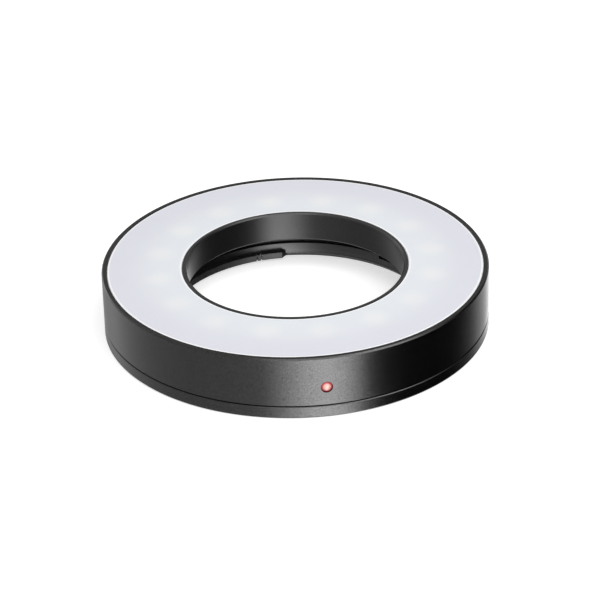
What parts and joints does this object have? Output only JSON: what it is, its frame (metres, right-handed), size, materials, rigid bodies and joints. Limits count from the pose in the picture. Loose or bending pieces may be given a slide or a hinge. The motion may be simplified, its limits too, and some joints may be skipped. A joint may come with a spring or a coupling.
{
  "type": "macro ring light",
  "caption": "Flat black ring light with an opal front diffuser and a bayonet socket behind, which clips round the nose of a macro lens and takes power through its side.",
  "frame": {"origin": "on the ring's axis, at the plane of the back face that it lies on", "axes": "+Z along the ring's axis towards the lit front face, -Y through the alignment dot, +Y through the power socket"},
  "size_m": [0.06, 0.0601, 0.0101],
  "materials": {
    "black_anodised": "fine satin black anodised",
    "black_anodised_cover": "fine satin black anodised",
    "opal_diffuser": "satin opal acrylic",
    "white_board": "white solder mask on glass laminate",
    "green_board": "green solder mask on glass laminate",
    "led_package": "white package with a yellow phosphor window",
    "ceramic_black": "black glazed ceramic chip",
    "ceramic_tan": "tan ceramic chip",
    "ferrite": "dark grey ferrite",
    "moulded_black": "moulded black",
    "plated_steel": "bright tin plate",
    "gold_plate": "flash gold plate",
    "bright_screws": "nickel plated",
    "black_screws": "black oxide",
    "bright_steel": "polished",
    "spring_steel": "drawn wire",
    "brass_plug": "turned",
    "red_bead": "glossy red"
  },
  "bodies": {
    "ring_light": {"back_cover": "black_anodised_cover", "click_plug": "brass_plug", "click_spring": "spring_steel", "cover_screws": "black_screws", "diffuser": "opal_diffuser", "driver_board": "green_board", "driver_board_screws": "bright_screws", "driver_chip": "moulded_black", "index_dot": "red_bead", "inductor": "ferrite", "input_capacitor": "ceramic_tan", "led_01": "led_package", "led_02": "led_package", "led_03": "led_package", "led_04": "led_package", "led_05": "led_package", "led_06": "led_package", "led_07": "led_package", "led_08": "led_package", "led_09": "led_package", "led_10": "led_package", "led_11": "led_package", "led_12": "led_package", "led_13": "led_package", "led_14": "led_package", "led_15": "led_package", "led_16": "led_package", "led_board": "white_board", "led_board_screws": "bright_screws", "led_resistors": "ceramic_black", "light_housing": "black_anodised", "link_pins": "gold_plate", "link_spacer": "moulded_black", "output_capacitor": "ceramic_tan", "rectifier_diode": "moulded_black", "sense_resistor": "ceramic_black", "usb_contacts": "gold_plate", "usb_insert": "moulded_black", "usb_shell": "plated_steel"},
    "click_pin": {"click_pin": "bright_steel"}
  },
  "joints": [
    {"name": "click_pin_slide", "type": "slide", "parent": "ring_light", "child": "click_pin", "axis": [0, 0, 1], "range_m": [0, 0.0004], "stiffness_N_per_m": 400, "springref_m": -0.0008, "deforming": ["click_spring"]}
  ]
}
